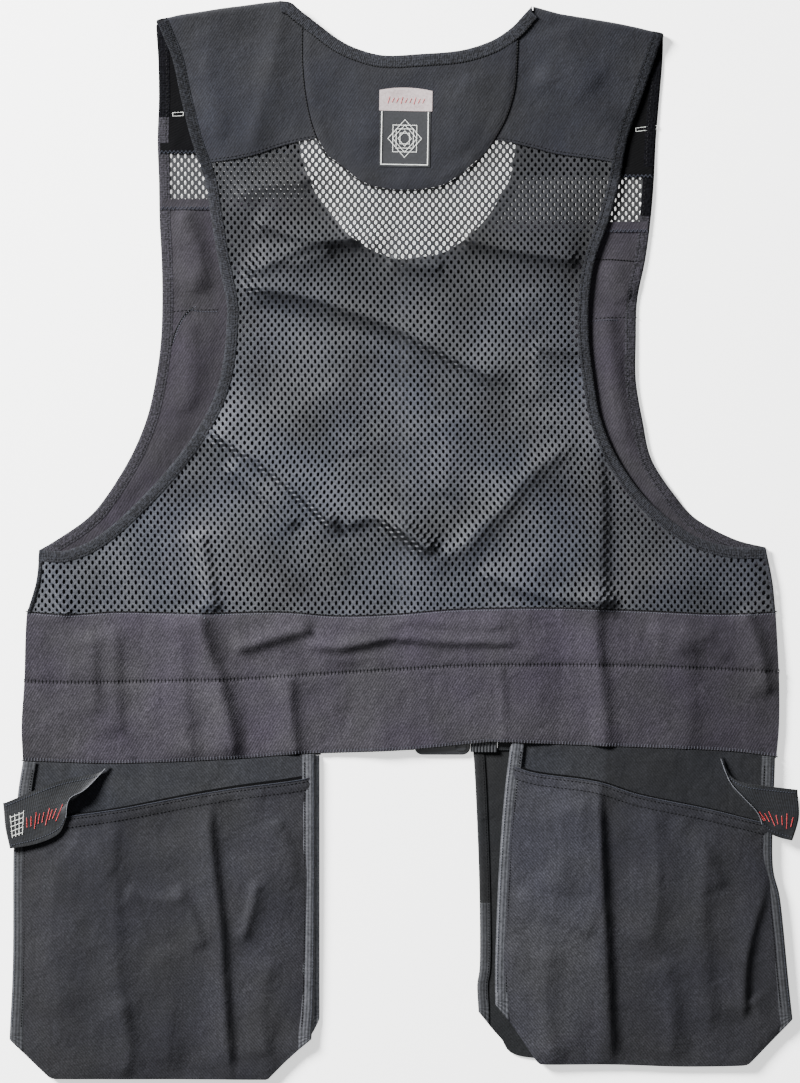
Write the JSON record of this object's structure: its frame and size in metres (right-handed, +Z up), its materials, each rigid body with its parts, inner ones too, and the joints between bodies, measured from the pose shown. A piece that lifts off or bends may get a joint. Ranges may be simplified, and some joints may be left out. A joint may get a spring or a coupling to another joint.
{
  "type": "utility vest",
  "caption": "Sleeveless work vest with a see-through net back, twill yokes and waist, hanging tool pockets and strap loops, laid flat with its back up.",
  "frame": {"origin": "middle of the garment's outline, on the surface that it lies on", "axes": "+X to the wearer's right side as it lies, +Y towards the neck, +Z up off the surface through the back of the vest"},
  "size_m": [0.5951, 0.8069, 0.0094],
  "materials": {
    "twill": "woven twill, matt",
    "yoke_twill": "woven twill, matt",
    "net": "open knitted net, slightly shiny yarn",
    "tape": "folded binding tape",
    "pocket_twill": "heavier twill, matt",
    "pocket_tape": "ribbed grosgrain tape",
    "strap": "woven strap",
    "label_white": "woven label",
    "label_dark": "woven label",
    "moulded": "moulded, satin"
  },
  "bodies": {
    "root": {"back_mesh": "net", "yoke_left": "yoke_twill", "yoke_right": "yoke_twill", "neck_patch": "yoke_twill", "neck_binding": "tape", "label_tab": "label_white", "label_patch": "label_dark", "armhole_binding_left": "tape", "armhole_binding_right": "tape", "back_waist_panel": "twill", "back_hem_band": "twill", "front_mesh_left": "net", "front_mesh_right": "net", "front_body_left": "twill", "front_body_right": "twill", "front_waist_left": "twill", "front_waist_right": "twill", "front_hem_band_left": "twill", "front_hem_band_right": "twill", "front_neck_binding_left": "tape", "front_neck_binding_right": "tape", "front_zip": "moulded", "belt_webbing_left": "strap", "belt_webbing_right": "strap", "belt_buckle": "moulded", "holster_backing_left": "pocket_twill", "holster_backing_right": "pocket_twill", "holster_cloth_left": "pocket_twill", "holster_cloth_right": "pocket_twill", "holster_binding_left_outer": "pocket_tape", "holster_binding_left_inner": "pocket_tape", "holster_binding_right_outer": "pocket_tape", "holster_binding_right_inner": "pocket_tape", "hammer_loop_left": "strap", "hammer_loop_right": "strap", "front_holster_left": "pocket_twill", "front_holster_right": "pocket_twill", "front_holster_binding_left": "pocket_tape", "front_holster_binding_right": "pocket_tape"}
  },
  "joints": []
}
